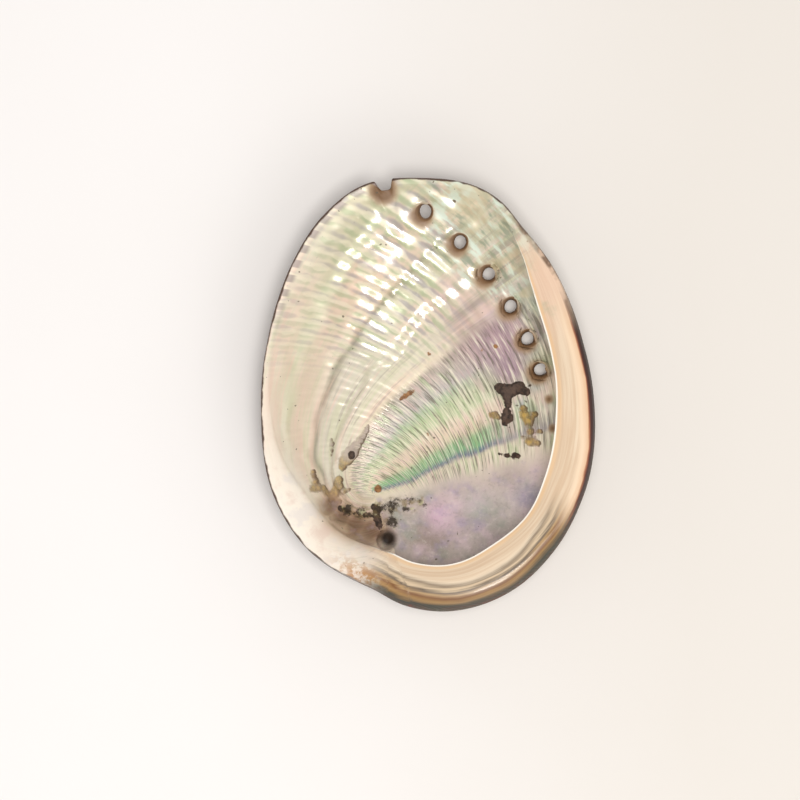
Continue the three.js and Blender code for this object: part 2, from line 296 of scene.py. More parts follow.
def round_pores(point, top, centres, radius):
    """A grid drawn round at each pore, and the pores' places in it.

    The grid's corners slide along the surface, so that the square rings about a pore become circles
    that grow out to the undisturbed grid.
    """
    share, degrees = square_rings()
    plan = point(share, degrees).real * np.exp(1j * np.radians(degrees))
    step = np.abs(np.arange(-PORE_REACH, PORE_REACH + 1))
    ring = np.maximum(step[:, None], step[None, :])
    pull = 1 - rise(ring, PORE_HALF, PORE_REACH)
    places = []
    for centre in centres:
        away = np.where(share < top, np.abs(plan - centre), np.inf)
        row, column = np.unravel_index(np.argmin(away), away.shape)
        window = (
            slice(row - PORE_REACH, row + PORE_REACH + 1),
            slice(column - PORE_REACH, column + PORE_REACH + 1),
        )
        offset = plan[window] - centre
        distance = np.maximum(np.abs(offset), METRES)
        target = distance + pull * (radius * ring / PORE_HALF - distance)
        plan[window] = centre + offset / distance * target
        degrees[window] = np.degrees(np.angle(plan[window])) % 360
        share[window] = share_at(point, np.abs(plan[window]), degrees[window], top)
        places.append((row, column))
    return share, degrees, places


def growth_stage(plan):
    """Degrees of growth: the bearing about the fan's point, stretched with the distance from it."""
    offset = plan - GROWTH_FAN
    lean = (np.degrees(np.angle(offset)) - GROWTH["axis"] + 90) % 360 - 90
    return lean * (np.abs(offset) / GROWTH["distance"]) ** GROWTH["bend"]


def cord_count(plan):
    """Number of spiral cords counted from the first: bearing less the logarithm of the reach."""
    offset = plan - SPIRE
    bearing = (np.angle(offset) + np.pi / 2) % (2 * np.pi) - np.pi / 2
    return (bearing - np.log(np.abs(offset) + METRES) / SPIRAL_RATE) * CORDS_PER_TURN / (2 * np.pi)


def unevenness(plan, wavelength, seed):
    """A gentle random swell between about -1 and 1: a sum of sine waves in seeded directions."""
    chance = np.random.default_rng(seed)
    waves = chance.uniform(0.7, 1.6, 7) * np.exp(1j * chance.uniform(0, 2 * np.pi, 7))
    starts = chance.uniform(0, 2 * np.pi, 7)
    turn = 2 * np.pi / wavelength
    swell = [np.sin(turn * (plan * wave).real + start) for wave, start in zip(waves, starts)]
    return np.sum(swell, axis=0) / np.sqrt(len(waves) * 2)


def lattice(u, v, seed):
    """Random values between -1 and 1 at whole u and v, joined by smooth cubic steps."""
    size = 97
    chance = np.random.default_rng(seed).uniform(-1, 1, (size, size))
    i, j = np.floor(u).astype(int), np.floor(v).astype(int)
    s, t = rise(u - i, 0, 1), rise(v - j, 0, 1)
    near = chance[i % size, j % size] * (1 - s) + chance[(i + 1) % size, j % size] * s
    far = chance[i % size, (j + 1) % size] * (1 - s) + chance[(i + 1) % size, (j + 1) % size] * s
    return near * (1 - t) + far * t


def nearest(plan, centres):
    """Distance to the nearest of some places."""
    return np.min([np.abs(plan - centre) for centre in centres], axis=0)


def blot(plan, discs):
    """Distance outside the union of discs, negative inside, with the joins between discs rounded."""
    softness = 0.7
    gaps = [np.abs(plan - complex(x, y)) - radius for x, y, radius in discs]
    return -softness * np.log(np.sum(np.exp(-np.array(gaps) / softness), axis=0))


def smudge(plan, discs):
    """The highest of the Gaussian bells that stand on some discs."""
    return np.max([bell(np.abs(plan - complex(x, y)), radius) for x, y, radius in discs], axis=0)


def inner_relief(plan, share):
    """Height of the inside: cords, growth waves, ridge and crease, a swell, pore dishes and the pit.

    A cord's height is a cosine of the cord count whose strength and place wander at random along it.
    A growth wave is a sum of two cosines of the stage. Ridge, crease, dishes and pit are bells.
    """
    reach = np.abs(plan - SPIRE)
    stage = growth_stage(plan)
    cord = cord_count(plan)
    wander = 0.16 * lattice(cord / 2, stage / 15, 31)
    strength = 1 + 0.75 * lattice(cord, stage / 11, 32)
    fresh = rise(stage, 52, 64)
    calm = 1 - 0.6 * rise(-plan.real, 30, 52)
    cords = 0.0027 * reach * np.cos(2 * np.pi * (cord + wander)) * strength
    cords = cords * (0.12 + 0.88 * fresh * calm)
    ripple = stage + 5 * lattice(cord / 1.5, stage / 24, 33)
    waves = 0.42 * np.cos(2 * np.pi * ripple / 21) + 0.14 * np.cos(2 * np.pi * ripple / 11.7)
    waves = waves * rise(stage, 50, 75) * calm * (1 - 0.5 * rise(stage, 130, 155))
    ridge = 0.12 * bell(stage - 58, 3) - 0.35 * bell(stage - 101, 2.2) * rise(plan.imag, 20, 34)
    swell = 0.3 * unevenness(plan, 26, 3)
    dish = 0.9 * bell(nearest(plan, pore_centres(1, OPEN_PORES)) - 1.5, 3.2)
    pit = SPIRE_PIT["depth"] * np.exp(-((reach / SPIRE_PIT["radius"]) ** SPIRE_PIT["squareness"]))
    height = (cords + waves + ridge + swell) * rise(reach, 4, 14) - dish
    return height * (1 - rise(share, 0.9, 0.985)) - pit


def outer_relief(plan, share):
    """Height of the outside: cords, growth ledges, raised pores, the spire's coil and a swell."""
    reach = np.maximum(np.abs(plan - SPIRE), METRES)
    stage = growth_stage(plan)
    grown = rise(reach, 10, 30)
    cords = 0.004 * reach * np.cos(2 * np.pi * cord_count(plan)) * rise(reach, 14, 30)
    ledges = grown * (0.5 * np.cos(2 * np.pi * stage / 24) + 0.2 * np.cos(2 * np.pi * stage / 7.3))
    pores = PORE_RIM["height"] * bell(
        nearest(plan, pore_centres(1, OPEN_PORES + SEALED_PORES)), PORE_RIM["radius"]
    )
    coil = SPIRE_COIL
    half_turns = (np.angle(plan - SPIRE) - np.log(reach) / coil["rate"]) / 2
    groove = coil["groove"] * np.cos(half_turns) ** coil["sharpness"]
    groove = groove * np.minimum(1, reach / coil["middle"])
    spire = bell(reach, coil["reach"]) * (coil["height"] - groove)
    fade = 1 - rise(share, SIDE_SHARE - 0.1, SIDE_SHARE)
    return fade * (cords + ledges + pores + spire + 0.3 * unevenness(plan, 19, 8))


def laid_on(point, relief, share, degrees, facing):
    """A sheet's points with its relief laid on along the grid's own normals, never below the table."""
    flat = point(share, degrees)
    plan = flat.real * np.exp(1j * np.radians(degrees))
    points = np.stack([plan.real, plan.imag, flat.imag], axis=-1)
    normal = facing * np.cross(np.gradient(points, axis=1), np.gradient(points, axis=0))
    normal = normal / np.linalg.norm(normal, axis=-1, keepdims=True)
    points = points + normal * relief(plan, share)[..., None]
    points[..., 2] = np.maximum(points[..., 2], 0)
    return points


def cells(index, pores, upward):
    """Quads of a grid of vertex numbers, without the blocks of cells over the pores.

    Each quad starts at the corner from which its diagonal crosses the rings.
    """
    a, b, c, d = index[:-1, :-1], index[:-1, 1:], index[1:, 1:], index[1:, :-1]
    middle = np.arange(index.shape[0] - 1) < RINGS
    same = middle[:, None] == middle[None, :]
    quads = np.where(same[..., None], np.stack([a, b, c, d], -1), np.stack([b, c, d, a], -1))
    keep = np.ones(a.shape, bool)
    for row, column in pores:
        keep[row - PORE_HALF : row + PORE_HALF, column - PORE_HALF : column + PORE_HALF] = False
    quads = quads[keep]
    return quads if upward else quads[:, ::-1]


def pore_loop(place):
    """Rows and columns of the square ring of corners round a pore, anticlockwise from above."""
    row, column = place
    side = np.arange(-PORE_HALF, PORE_HALF)
    low = np.full_like(side, -PORE_HALF)
    columns = np.concatenate([side, -low, -side, low])
    rows = np.concatenate([low, side, -low, -side])
    return row + rows, column + columns


def pore_wall(mouth, outlet, first):
    """The funnel between a pore's inner mouth and its outlet, and its quads.

    Each line down the funnel is a quadratic Bezier curve: it leaves the mouth level and reaches the
    outlet upright. The first and last rings are the two loops themselves, so only the rings between
    them are new points, numbered from first.
    """
    corner = np.concatenate([outlet["points"][:, :2], mouth["points"][:, 2:]], axis=1)
    t = (np.arange(1, WALL_RINGS + 1) / (WALL_RINGS + 1))[:, None, None]
    points = (1 - t) ** 2 * mouth["points"] + 2 * t * (1 - t) * corner + t**2 * outlet["points"]
    count = len(corner)
    between = first + np.arange(WALL_RINGS * count).reshape(WALL_RINGS, count)
    rings = np.concatenate([mouth["index"][None], between, outlet["index"][None]])
    after = np.roll(rings, -1, axis=1)
    quads = np.stack([rings[:-1], after[:-1], after[1:], rings[1:]], -1)
    return points.reshape(-1, 3), quads.reshape(-1, 4)


def srgb(*colour):
    """Linear red, green and blue of colours given as 0 to 255."""
    c = np.array(colour, float) / 255
    return np.where(c <= 0.04045, c / 12.92, ((c + 0.055) / 1.055) ** 2.4)


def paint(red, green, blue):
    """A colour given as 0 to 255 for a shader socket."""
    return (*srgb(red, green, blue), 1.0)


def blend(weight, low, high):
    """Colours mixed by a weight at every point."""
    return low + weight[:, None] * (high - low)


# Colours of the mother of pearl by stage of growth, from the columella round to the lip.
STAGE_TINTS = [
    (-90, (176, 160, 150)), (-45, (188, 172, 164)), (-28, (200, 184, 176)), (-17, (212, 190, 178)),
    (-8, (228, 212, 186)), (-2, (224, 212, 178)), (0, (78, 90, 122)), (2, (88, 122, 122)),
    (4, (112, 172, 116)), (9, (136, 184, 126)), (12, (214, 200, 162)), (16, (232, 204, 176)),
    (21, (228, 206, 178)), (25, (204, 210, 166)), (31, (196, 204, 160)), (36, (176, 192, 158)),
    (40, (194, 184, 178)), (47, (190, 178, 164)), (54, (176, 160, 144)), (58, (232, 212, 180)),
    (64, (228, 216, 188)), (78, (214, 208, 182)), (97, (218, 206, 184)), (101, (150, 144, 122)),
    (105, (226, 206, 180)), (121, (232, 206, 182)), (132, (216, 210, 176)), (142, (236, 212, 186)),
    (155, (234, 214, 192)),
]
# Local blushes of colour: x, y, radius, strength and colour. The brown ones below the spire are painted
# shade, and the near-white one by the first pore is a painted highlight.
BLUSHES = [
    (4.0, -34.0, 16.0, 0.75, (172, 158, 152)), (-5.0, -43.0, 8.0, 0.7, (140, 122, 106)),
    (-2.0, -33.9, 5.0, 0.8, (224, 186, 208)), (3.0, -30.5, 3.0, 0.6, (232, 206, 208)),
    (11.8, -31.5, 5.0, 0.7, (168, 180, 166)), (29.0, -27.0, 5.0, 0.7, (144, 140, 162)),
    (23.0, -20.0, 5.0, 0.6, (172, 158, 150)), (16.0, -40.0, 6.0, 0.6, (158, 148, 142)),
    (8.3, 34.0, 11.0, 0.85, (182, 156, 152)), (20.0, 27.0, 9.0, 0.85, (172, 144, 150)),
    (23.0, 17.0, 5.5, 0.85, (162, 124, 154)), (1.0, 44.0, 4.0, 0.6, (234, 200, 208)),
    (16.0, 38.0, 4.0, 0.5, (226, 196, 206)), (29.0, 41.0, 7.0, 0.5, (186, 206, 194)),
    (22.1, 54.0, 7.0, 0.5, (196, 208, 190)), (27.0, 4.5, 3.0, 0.6, (176, 196, 204)),
    (31.5, 12.0, 3.5, 0.7, (160, 178, 170)), (30.0, 0.0, 4.0, 0.6, (150, 140, 120)),
    # painted shade: the brown blushes at (-37, -34), (-30, -36), (-24, -38.5) and (-38, -29) darken the
    # wall below the spire
    (-37.0, -34.0, 7.0, 0.75, (206, 172, 140)), (-30.0, -36.0, 6.5, 0.85, (158, 116, 82)),
    (-24.0, -38.5, 5.5, 0.95, (112, 80, 56)), (-38.0, -29.0, 4.0, 0.6, (176, 142, 98)),
    # painted highlight: the near-white blush at (-12, 72), left of the first pore
    (-12.0, 72.0, 2.4, 0.7, (255, 252, 240)), (-24.0, -29.0, 4.0, 0.5, (226, 214, 180)),
]
BRIGHTNESS = 0.8


def nacre_tint(plan, brim, roll):
    """Broad colour of the mother of pearl: bands by stage, local blushes (some of them painted shade
    below the spire, and one a painted highlight by the first pore), and the peach of the roll.
    """
    stages = [stage for stage, _ in STAGE_TINTS]
    tints = srgb(*[tint for _, tint in STAGE_TINTS])
    distance = np.abs(plan - GROWTH_FAN)
    shift = 4 * (1 - rise(distance, 12, 28)) + 1.2 * unevenness(plan, 17, 21)
    stage = growth_stage(plan) + shift * (1 + rise(growth_stage(plan), 50, 70))
    colour = np.stack([np.interp(stage, stages, tints[:, k]) for k in range(3)], -1)
    leftward = rise(-plan.real, 18, 40) * rise(stage, 8, 30) * rise(62 - stage, 0, 20)
    colour = blend(leftward, colour, srgb(232, 214, 184))
    fresh = rise(stage, 54, 62)
    rightward = rise(plan.real + 6 * unevenness(plan, 30, 5), -8, 24)
    forward = rise(plan.imag + 6 * unevenness(plan, 30, 6), 38, 66)
    colour = blend(0.75 * fresh * rightward * (1 - forward), colour, srgb(194, 180, 176))
    colour = blend(0.6 * fresh * forward, colour, srgb(204, 206, 178))
    far_band = rise(distance, 40, 54) * bell(stage - 5, 9)
    colour = blend(0.85 * far_band, colour, srgb(184, 168, 158))
    shaded = rise(plan.imag, 24, 46) * (1 - rise(-plan.real, 28, 46))
    colour = colour ** (BRIGHTNESS + 0.25 * shaded)[:, None]
    colour = blend(brim * roll, colour, srgb(252, 241, 226))
    for x, y, radius, strength, blush in BLUSHES:
        colour = blend(strength * bell(np.abs(plan - complex(x, y)), radius), colour, srgb(*blush))
    return colour


def shell_surface():
    """Points, quads, named fields and pearl colours of the whole shell.

    The sheets' shared rim has one set of points. The field across runs from below 0 on the back, through
    0 at the widest point, to 1 at the shelf's inner edge, and on past 1 down into the bowl.
    """
    pores = pore_centres(1, OPEN_PORES)
    funnels = pores + FUNNEL_SHIFT
    outlet_middles = pores - OUTLET_SHIFT * pores / np.abs(pores)
    share_in, degrees_in, mouths = round_pores(inner_point, INSIDE_BULGE, funnels, FUNNEL_RADIUS)
    share_out, degrees_out, outlets = round_pores(outer_point, SIDE_SHARE, outlet_middles, PORE_RADIUS)
    inside = laid_on(inner_point, inner_relief, share_in, degrees_in, 1)
    outside = laid_on(outer_point, outer_relief, share_out, degrees_out, -1)

    grid = inside.shape[:2]
    index_in = np.arange(inside.shape[0] * inside.shape[1]).reshape(grid)
    rim = np.ones(grid, bool)
    rim[1:-1, 1:-1] = False
    index_out = np.where(rim, index_in, index_in + index_in.size)
    points = [inside.reshape(-1, 3), outside.reshape(-1, 3)]
    quads = [cells(index_in, mouths, True), cells(index_out, outlets, False)]
    first = 2 * index_in.size
    for mouth_place, outlet_place in zip(mouths, outlets):
        loop_in, loop_out = pore_loop(mouth_place), pore_loop(outlet_place)
        mouth = {"index": index_in[loop_in], "points": inside[loop_in]}
        outlet = {"index": index_out[loop_out], "points": outside[loop_out]}
        wall_points, wall_quads = pore_wall(mouth, outlet, first)
        first += len(wall_points)
        points.append(wall_points)
        quads.append(wall_quads)
    points = np.concatenate(points)
    walls = len(points) - 2 * index_in.size

    plan = points[:, 0] + 1j * points[:, 1]
    degrees = np.degrees(np.angle(plan)) % 360
    past_edge = 1 + 3 * (1 - share_in.ravel())
    over_lip = (share_out.ravel() - SIDE_SHARE) / (1 - SIDE_SHARE)
    across = np.concatenate([past_edge, over_lip, np.full(walls, 4.0)])
    brim = 1 - rise(across, 1.0, 1.6)
    roll = bell(turn_between(degrees, 214), 34)
    in_wall = np.arange(len(points)) >= 2 * index_in.size
    sealed = pore_centres(OPEN_PORES + 1, OPEN_PORES + 2)
    lower_left = complex(-0.7, -0.8)
    to_pore = nearest(plan, funnels + lower_left) - FUNNEL_RADIUS
    to_pore = np.minimum(to_pore, 1.8 * nearest(plan, sealed) - 2.0)
    to_pore = np.minimum(to_pore, np.abs(plan - NOTCH_HALO) - 4.4)
    towards_upper_right = (plan * np.exp(-0.9j)).real
    far_right = rise(towards_upper_right, 38, 46) * rise(plan.imag, 8, 22)
    fields = {
        "cord": cord_count(plan),
        "stage": growth_stage(plan),
        "reach": np.abs(plan - SPIRE),
        "across": across,
        "pore": np.where(in_wall, -1.5, to_pore),
        "decay": blot(plan, DECAY),
        "film": blot(plan, FILM),
        "lee": rise(blot(plan + 0.4, FILM) - blot(plan - 0.4, FILM), -0.2, 0.6),
        "rust": blot(plan, RUST),
        "olive": np.maximum(rise(plan.real, 0, 5), rise(-(0.5 * plan.real + plan.imag), 29, 34)),
        "inset": around(RIM_RADIUS, degrees) - np.abs(plan),
        "grime": smudge(plan, GRIME),
        "calm": rise(-plan.real, 28, 50),
        "plain": brim * roll,
        "facet": rise(plan.imag, 26, 46) * (1 - rise(plan.real, -26, -18)),
        # painted shade on the wall below the spire
        "wall_shade": smudge(plan, WALL_SHADE),
        "crustlet": bell(turn_between(degrees, 65), 7),
        "rosy": bell(np.abs(plan - complex(19, 25)), 15),
        "mint": far_right * rise(plan.real, -14, 0),
        "upper": rise(plan.imag, 8, 34) * (1 - rise(plan.real, -6, 16)),
        "tail": 1 - rise(np.abs(turn_between(degrees, 280)), 32, 50),
        "flank": 1 - rise(np.abs(turn_between(degrees, 352)), 40, 60),
        "brow": bell(turn_between(degrees, 54), 16),
        "freckle": bell(turn_between(degrees, 243), 9),
        "ledge": 1 - rise(np.abs(turn_between(degrees, 335)), 82, 100),
    }
    tint = nacre_tint(plan, brim, roll)
    used = np.unique(np.concatenate(quads))
    number = np.zeros(len(points), int)
    number[used] = np.arange(len(used))
    fields = {name: field[used] for name, field in fields.items()}
    return points[used], number[np.concatenate(quads)], fields, tint[used]


class Palette:
    """Nodes of one shader tree. An input is a socket, or a plain value set on the node itself."""

    def __init__(self, tree):
        self.tree = tree

    def node(self, kind, inputs=(), **settings):
        node = self.tree.nodes.new(kind)
        for name, setting in settings.items():
            setattr(node, name, setting)
        for key, source in dict(inputs).items():
            if isinstance(source, bpy.types.NodeSocket):
                self.tree.links.new(source, node.inputs[key])
            else:
                node.inputs[key].default_value = source
        return node

    def field(self, name):
        return self.node("ShaderNodeAttribute", attribute_name=name).outputs["Fac"]

    def tint(self, name):
        return self.node("ShaderNodeAttribute", attribute_name=name).outputs["Color"]

    def place(self):
        return self.node("ShaderNodeTexCoord").outputs["Object"]

    def math(self, operation, *values):
        return self.node("ShaderNodeMath", enumerate(values), operation=operation).outputs[0]

    def times(self, first, *others):
        for other in others:
            first = self.math("MULTIPLY", first, other)
        return first

    def vector(self, x, y, z=0.0):
        return self.node("ShaderNodeCombineXYZ", {0: x, 1: y, 2: z}).outputs[0]

    def rise(self, value, low, high):
        limits = {"Value": value, "From Min": low, "From Max": high}
        return self.node("ShaderNodeMapRange", limits, interpolation_type="SMOOTHSTEP").outputs[0]

    def fall(self, value, low, high):
        return self.rest_of(self.rise(value, low, high))

    def noise(self, vector, scale, detail=2.0, roughness=0.5):
        inputs = {"Vector": vector, "Scale": scale, "Detail": detail, "Roughness": roughness}
        return self.node("ShaderNodeTexNoise", inputs).outputs["Fac"]

    def roughen(self, value, noise, amount):
        return self.math("MULTIPLY_ADD", self.math("SUBTRACT", noise, 0.5), amount, value)

    def rest_of(self, weight):
        return self.math("SUBTRACT", 1.0, weight)

    def mix(self, weight, low, high):
        inputs = {0: weight, 6: low, 7: high}
        return self.node("ShaderNodeMix", inputs, data_type="RGBA").outputs[2]

    def lerp(self, weight, low, high):
        return self.node("ShaderNodeMix", {0: weight, 2: low, 3: high}, data_type="FLOAT").outputs[0]

    def ramp(self, value, stops):
        node = self.node("ShaderNodeValToRGB", {"Fac": value})
        points = node.color_ramp.elements
        for _ in stops[2:]:
            points.new(1.0)
        for point, (position, colour) in zip(points, stops):
            point.position = position
            point.color = paint(*colour)
        return node.outputs["Color"]

    def wave(self, cycles, shift=0.0):
        angle = self.math("MULTIPLY_ADD", cycles, 2 * np.pi, shift)
        return self.math("SINE", angle)

    def bump(self, height, strength, distance):
        inputs = {"Height": height, "Strength": strength, "Distance": distance}
        return self.node("ShaderNodeBump", inputs).outputs["Normal"]


def new_material(name):
    """A node material with only its Principled shader and output."""
    material = bpy.data.materials.new(name)
    material.use_nodes = True
    return material, Palette(material.node_tree), material.node_tree.nodes["Principled BSDF"]


def feed(palette, shader, **sources):
    """Link sockets to the shader's inputs, and set plain values on them."""
    names = {name.replace("_", " ").lower(): name for name in sources}
    for socket in shader.inputs:
        key = names.get(socket.name.lower())
        if key is None:
            continue
        source = sources[key]
        if isinstance(source, bpy.types.NodeSocket):
            palette.tree.links.new(source, socket)
        else:
            socket.default_value = source


def mother_of_pearl(p):
    """Pearly inside: bands of growth; cords with green and rosy flanks that are partly painted shade and
    reflection; riblets with painted highlights on their crests and painted shade in their furrows;
    painted shade on the wall below the spire and in the pit; pores and stains.
    """
    place, cord, stage = p.place(), p.field("cord"), p.field("stage")
    reach, calm = p.field("reach"), p.field("calm")
    bold = p.math("MULTIPLY_ADD", calm, -0.55, 1.0)
    strokes = p.noise(p.vector(cord, p.times(stage, 0.1)), 1.0, 1.0)
    drift = p.noise(p.vector(p.times(cord, 0.4), p.times(stage, 0.07), 7.0), 1.0, 2.0)
    bands = p.noise(p.vector(p.times(stage, 0.14), p.times(cord, 0.06), 3.0), 1.0, 3.0, 0.6)
    clouds = p.noise(place, 90.0, 4.0, 0.6)
    fresh = p.times(p.rise(stage, 54.0, 62.0), p.rest_of(p.field("plain")))
    smooth = p.fall(stage, -20.0, -8.0)
    ribbed = p.times(p.rise(stage, -14.0, -5.0), p.fall(stage, 50.0, 60.0), p.rise(reach, 12.0, 22.0))

    # The flank wave ties the green, mauve and cream tints to each cord's sides. They are partly the
    # nacre's own mottling and partly painted shade and reflection.
    flank = p.wave(cord, 0.9)
    upper = p.field("upper")
    colour = p.tint("tint")
    colour = p.mix(p.times(p.rise(bands, 0.48, 0.66), fresh, 0.6), colour, paint(214, 212, 178))
    colour = p.mix(p.times(p.fall(bands, 0.36, 0.5), fresh, 0.5), colour, paint(244, 212, 194))
    green = p.rise(p.math("MULTIPLY_ADD", flank, 0.2, strokes), 0.5, 0.74)
    colour = p.mix(p.times(green, fresh, upper, bold, 0.75), colour, paint(174, 186, 148))
    mauve = p.fall(p.math("MULTIPLY_ADD", flank, 0.18, drift), 0.26, 0.46)
    colour = p.mix(p.times(mauve, fresh, upper, bold, 0.75), colour, paint(170, 162, 162))
    cream = p.rise(p.math("MULTIPLY_ADD", p.wave(cord, 2.6), 0.2, strokes), 0.54, 0.7)
    colour = p.mix(p.times(cream, fresh, upper, 0.5), colour, paint(246, 236, 210))
    streak = p.noise(p.vector(p.times(stage, 0.3), p.times(cord, 0.12), 4.0), 1.0, 3.0, 0.6)
    inner_fresh = p.times(fresh, p.rest_of(upper), p.rest_of(calm))
    colour = p.mix(p.times(p.rise(streak, 0.52, 0.66), inner_fresh, 0.5), colour, paint(236, 214, 206))
    colour = p.mix(p.times(p.fall(streak, 0.36, 0.48), inner_fresh, 0.5), colour, paint(156, 138, 134))

    mint = p.field("mint")
    dapple = p.noise(p.vector(p.times(cord, 2.2), p.times(stage, 0.075), 9.0), 1.0, 3.0, 0.55)
    colour = p.mix(p.times(p.rise(dapple, 0.48, 0.62), mint, 0.8), colour, paint(226, 240, 224))
    colour = p.mix(p.times(p.fall(dapple, 0.36, 0.48), mint, 0.8), colour, paint(148, 160, 138))
    tan = p.times(p.rise(drift, 0.54, 0.64), mint)
    colour = p.mix(p.times(tan, 0.6), colour, paint(214, 200, 166))

    riblet = p.noise(p.vector(p.times(cord, 4.2), p.times(stage, 0.06), 2.0), 1.0, 3.0, 0.6)
    grassy = p.times(ribbed, p.rest_of(p.field("rosy")))
    blade_hue = p.noise(p.vector(p.times(cord, 1.7), p.times(stage, 0.05), 5.0), 1.0, 2.0)
    colour = p.mix(p.times(p.rise(blade_hue, 0.52, 0.66), grassy, 0.5), colour, paint(168, 196, 138))
    colour = p.mix(p.times(p.fall(blade_hue, 0.34, 0.48), ribbed, 0.45), colour, paint(228, 194, 190))
    colour = p.mix(p.times(p.field("rosy"), ribbed, 0.7), colour, paint(178, 148, 158))
    # painted highlight on the riblets' crests and painted shade in their furrows, from the same noise as
    # their bump
    colour = p.mix(p.times(p.rise(riblet, 0.5, 0.68), ribbed, 0.75), colour, paint(250, 242, 220))
    colour = p.mix(p.times(p.fall(riblet, 0.36, 0.49), ribbed, 0.75), colour, paint(108, 104, 88))

    sheen = p.noise(place, 150.0, 3.0, 0.6)
    grain = p.noise(place, 520.0, 4.0, 0.7)
    colour = p.mix(p.times(p.rise(clouds, 0.46, 0.72), smooth, 0.5), colour, paint(222, 194, 204))
    colour = p.mix(p.times(p.fall(clouds, 0.3, 0.5), smooth, 0.55), colour, paint(140, 152, 136))
    colour = p.mix(p.times(p.rise(sheen, 0.48, 0.72), smooth, 0.5), colour, paint(166, 150, 178))
    colour = p.mix(p.times(p.rise(grain, 0.52, 0.68), smooth, 0.35), colour, paint(222, 210, 202))
    colour = p.mix(p.times(p.fall(grain, 0.34, 0.47), smooth, 0.22), colour, paint(120, 110, 104))

    coarse = p.math("SUBTRACT", p.noise(place, 330.0, 2.0, 0.5), 0.5)
    fine = p.math("SUBTRACT", p.noise(place, 1000.0, 3.0, 0.6), 0.5)
    fray = p.math("MULTIPLY_ADD", coarse, 1.8, p.times(fine, 0.7))
    film = p.math("MULTIPLY_ADD", fray, 0.9, p.field("film"))
    mud = p.mix(p.rise(sheen, 0.4, 0.62), paint(176, 158, 148), paint(142, 124, 118))
    moss = p.mix(p.rise(grain, 0.42, 0.6), paint(124, 94, 38), paint(176, 142, 68))
    stain = p.mix(p.field("olive"), mud, moss)
    thickness = p.times(p.fall(film, -0.5, 0.18), p.math("MULTIPLY_ADD", sheen, 0.5, 0.5))
    colour = p.mix(thickness, colour, stain)
    film_edge = p.times(p.rise(film, -0.7, -0.1), p.fall(film, -0.05, 0.22))
    lee = p.math("MULTIPLY_ADD", p.field("lee"), 0.7, 0.2)
    colour = p.mix(p.times(film_edge, lee), colour, paint(86, 62, 32))
    amber = p.times(p.fall(film, -1.3, -0.7), p.field("olive"), p.rise(sheen, 0.42, 0.58))
    colour = p.mix(p.times(amber, 0.7), colour, paint(206, 170, 92))
    # painted shade: brown on the wall below the spire, darker towards the pit
    soft = p.field("wall_shade")
    wall_shade = p.mix(p.rise(soft, 0.3, 1.0), paint(190, 156, 126), paint(124, 92, 70))
    wall_shade = p.mix(p.times(p.rise(sheen, 0.5, 0.66), 0.55), wall_shade, paint(160, 136, 142))
    colour = p.mix(p.times(p.rise(soft, 0.05, 0.8), 0.85), colour, wall_shade)
    rust = p.math("MULTIPLY_ADD", fray, 0.9, p.field("rust"))
    ochre = p.mix(p.rise(grain, 0.42, 0.6), paint(116, 76, 44), paint(160, 114, 68))
    colour = p.mix(p.fall(rust, -0.2, 0.25), colour, ochre)
    decay = p.math("MULTIPLY_ADD", fray, 1.1, p.field("decay"))
    gloom = p.mix(p.rise(grain, 0.42, 0.6), paint(44, 33, 27), paint(80, 61, 50))
    colour = p.mix(p.fall(decay, -0.1, 0.15), colour, gloom)
    core = p.times(p.fall(decay, -0.9, -0.4), p.rise(sheen, 0.35, 0.5))
    colour = p.mix(p.times(core, 0.5), colour, paint(106, 86, 76))
    grime = p.field("grime")
    dusk = p.times(p.rise(grime, 0.3, 1.0), p.rise(coarse, -0.1, 0.12))
    colour = p.mix(p.times(dusk, 0.8), colour, paint(132, 112, 66))
    soot = p.math("MULTIPLY_ADD", grime, 0.4, p.noise(place, 270.0, 5.0, 0.75))
    colour = p.mix(p.times(p.rise(soot, 0.76, 0.9), 0.95), colour, paint(52, 40, 26))
    chip = p.times(p.rise(grime, 0.4, 0.8), p.rise(p.noise(place, 360.0, 2.0), 0.58, 0.68))
    colour = p.mix(p.times(chip, 0.7), colour, paint(198, 192, 152))
    # painted shade: near-black in the spire's hollow pit
    pit = p.fall(reach, 1.4, 4.0)
    colour = p.mix(pit, colour, paint(50, 40, 34))

    pore = p.math("MULTIPLY_ADD", fray, 0.5, p.field("pore"))
    halo = p.fall(pore, -0.4, 2.3)
    colour = p.mix(p.times(halo, 0.9), colour, paint(164, 134, 104))
    colour = p.mix(p.times(p.fall(pore, -1.8, 0.6), 0.95), colour, paint(122, 90, 60))
    specks = p.rise(p.noise(place, 800.0, 0.0), 0.84, 0.86)
    colour = p.mix(p.times(specks, 0.8), colour, paint(96, 86, 70))

    soiled = p.math("MAXIMUM", halo, p.fall(rust, -0.5, 0.2))
    soiled = p.math("MAXIMUM", p.fall(decay, -0.1, 0.3), soiled)
    soiled = p.math("MAXIMUM", soiled, p.times(p.fall(film, -0.2, 0.3), 0.7))
    clean = p.rest_of(soiled)
    rough = p.math("ADD", 0.29, p.math("ADD", p.times(soiled, 0.3), p.times(calm, 0.06)))
    ribs = p.times(p.math("SUBTRACT", riblet, 0.5), ribbed, 2.2)
    height = p.math("MULTIPLY_ADD", p.times(sheen, smooth), 0.8, ribs)
    metal, coat = p.times(clean, 0.14), p.times(clean, 0.5)
    return {"colour": colour, "rough": rough, "metal": metal, "coat": coat, "height": height}


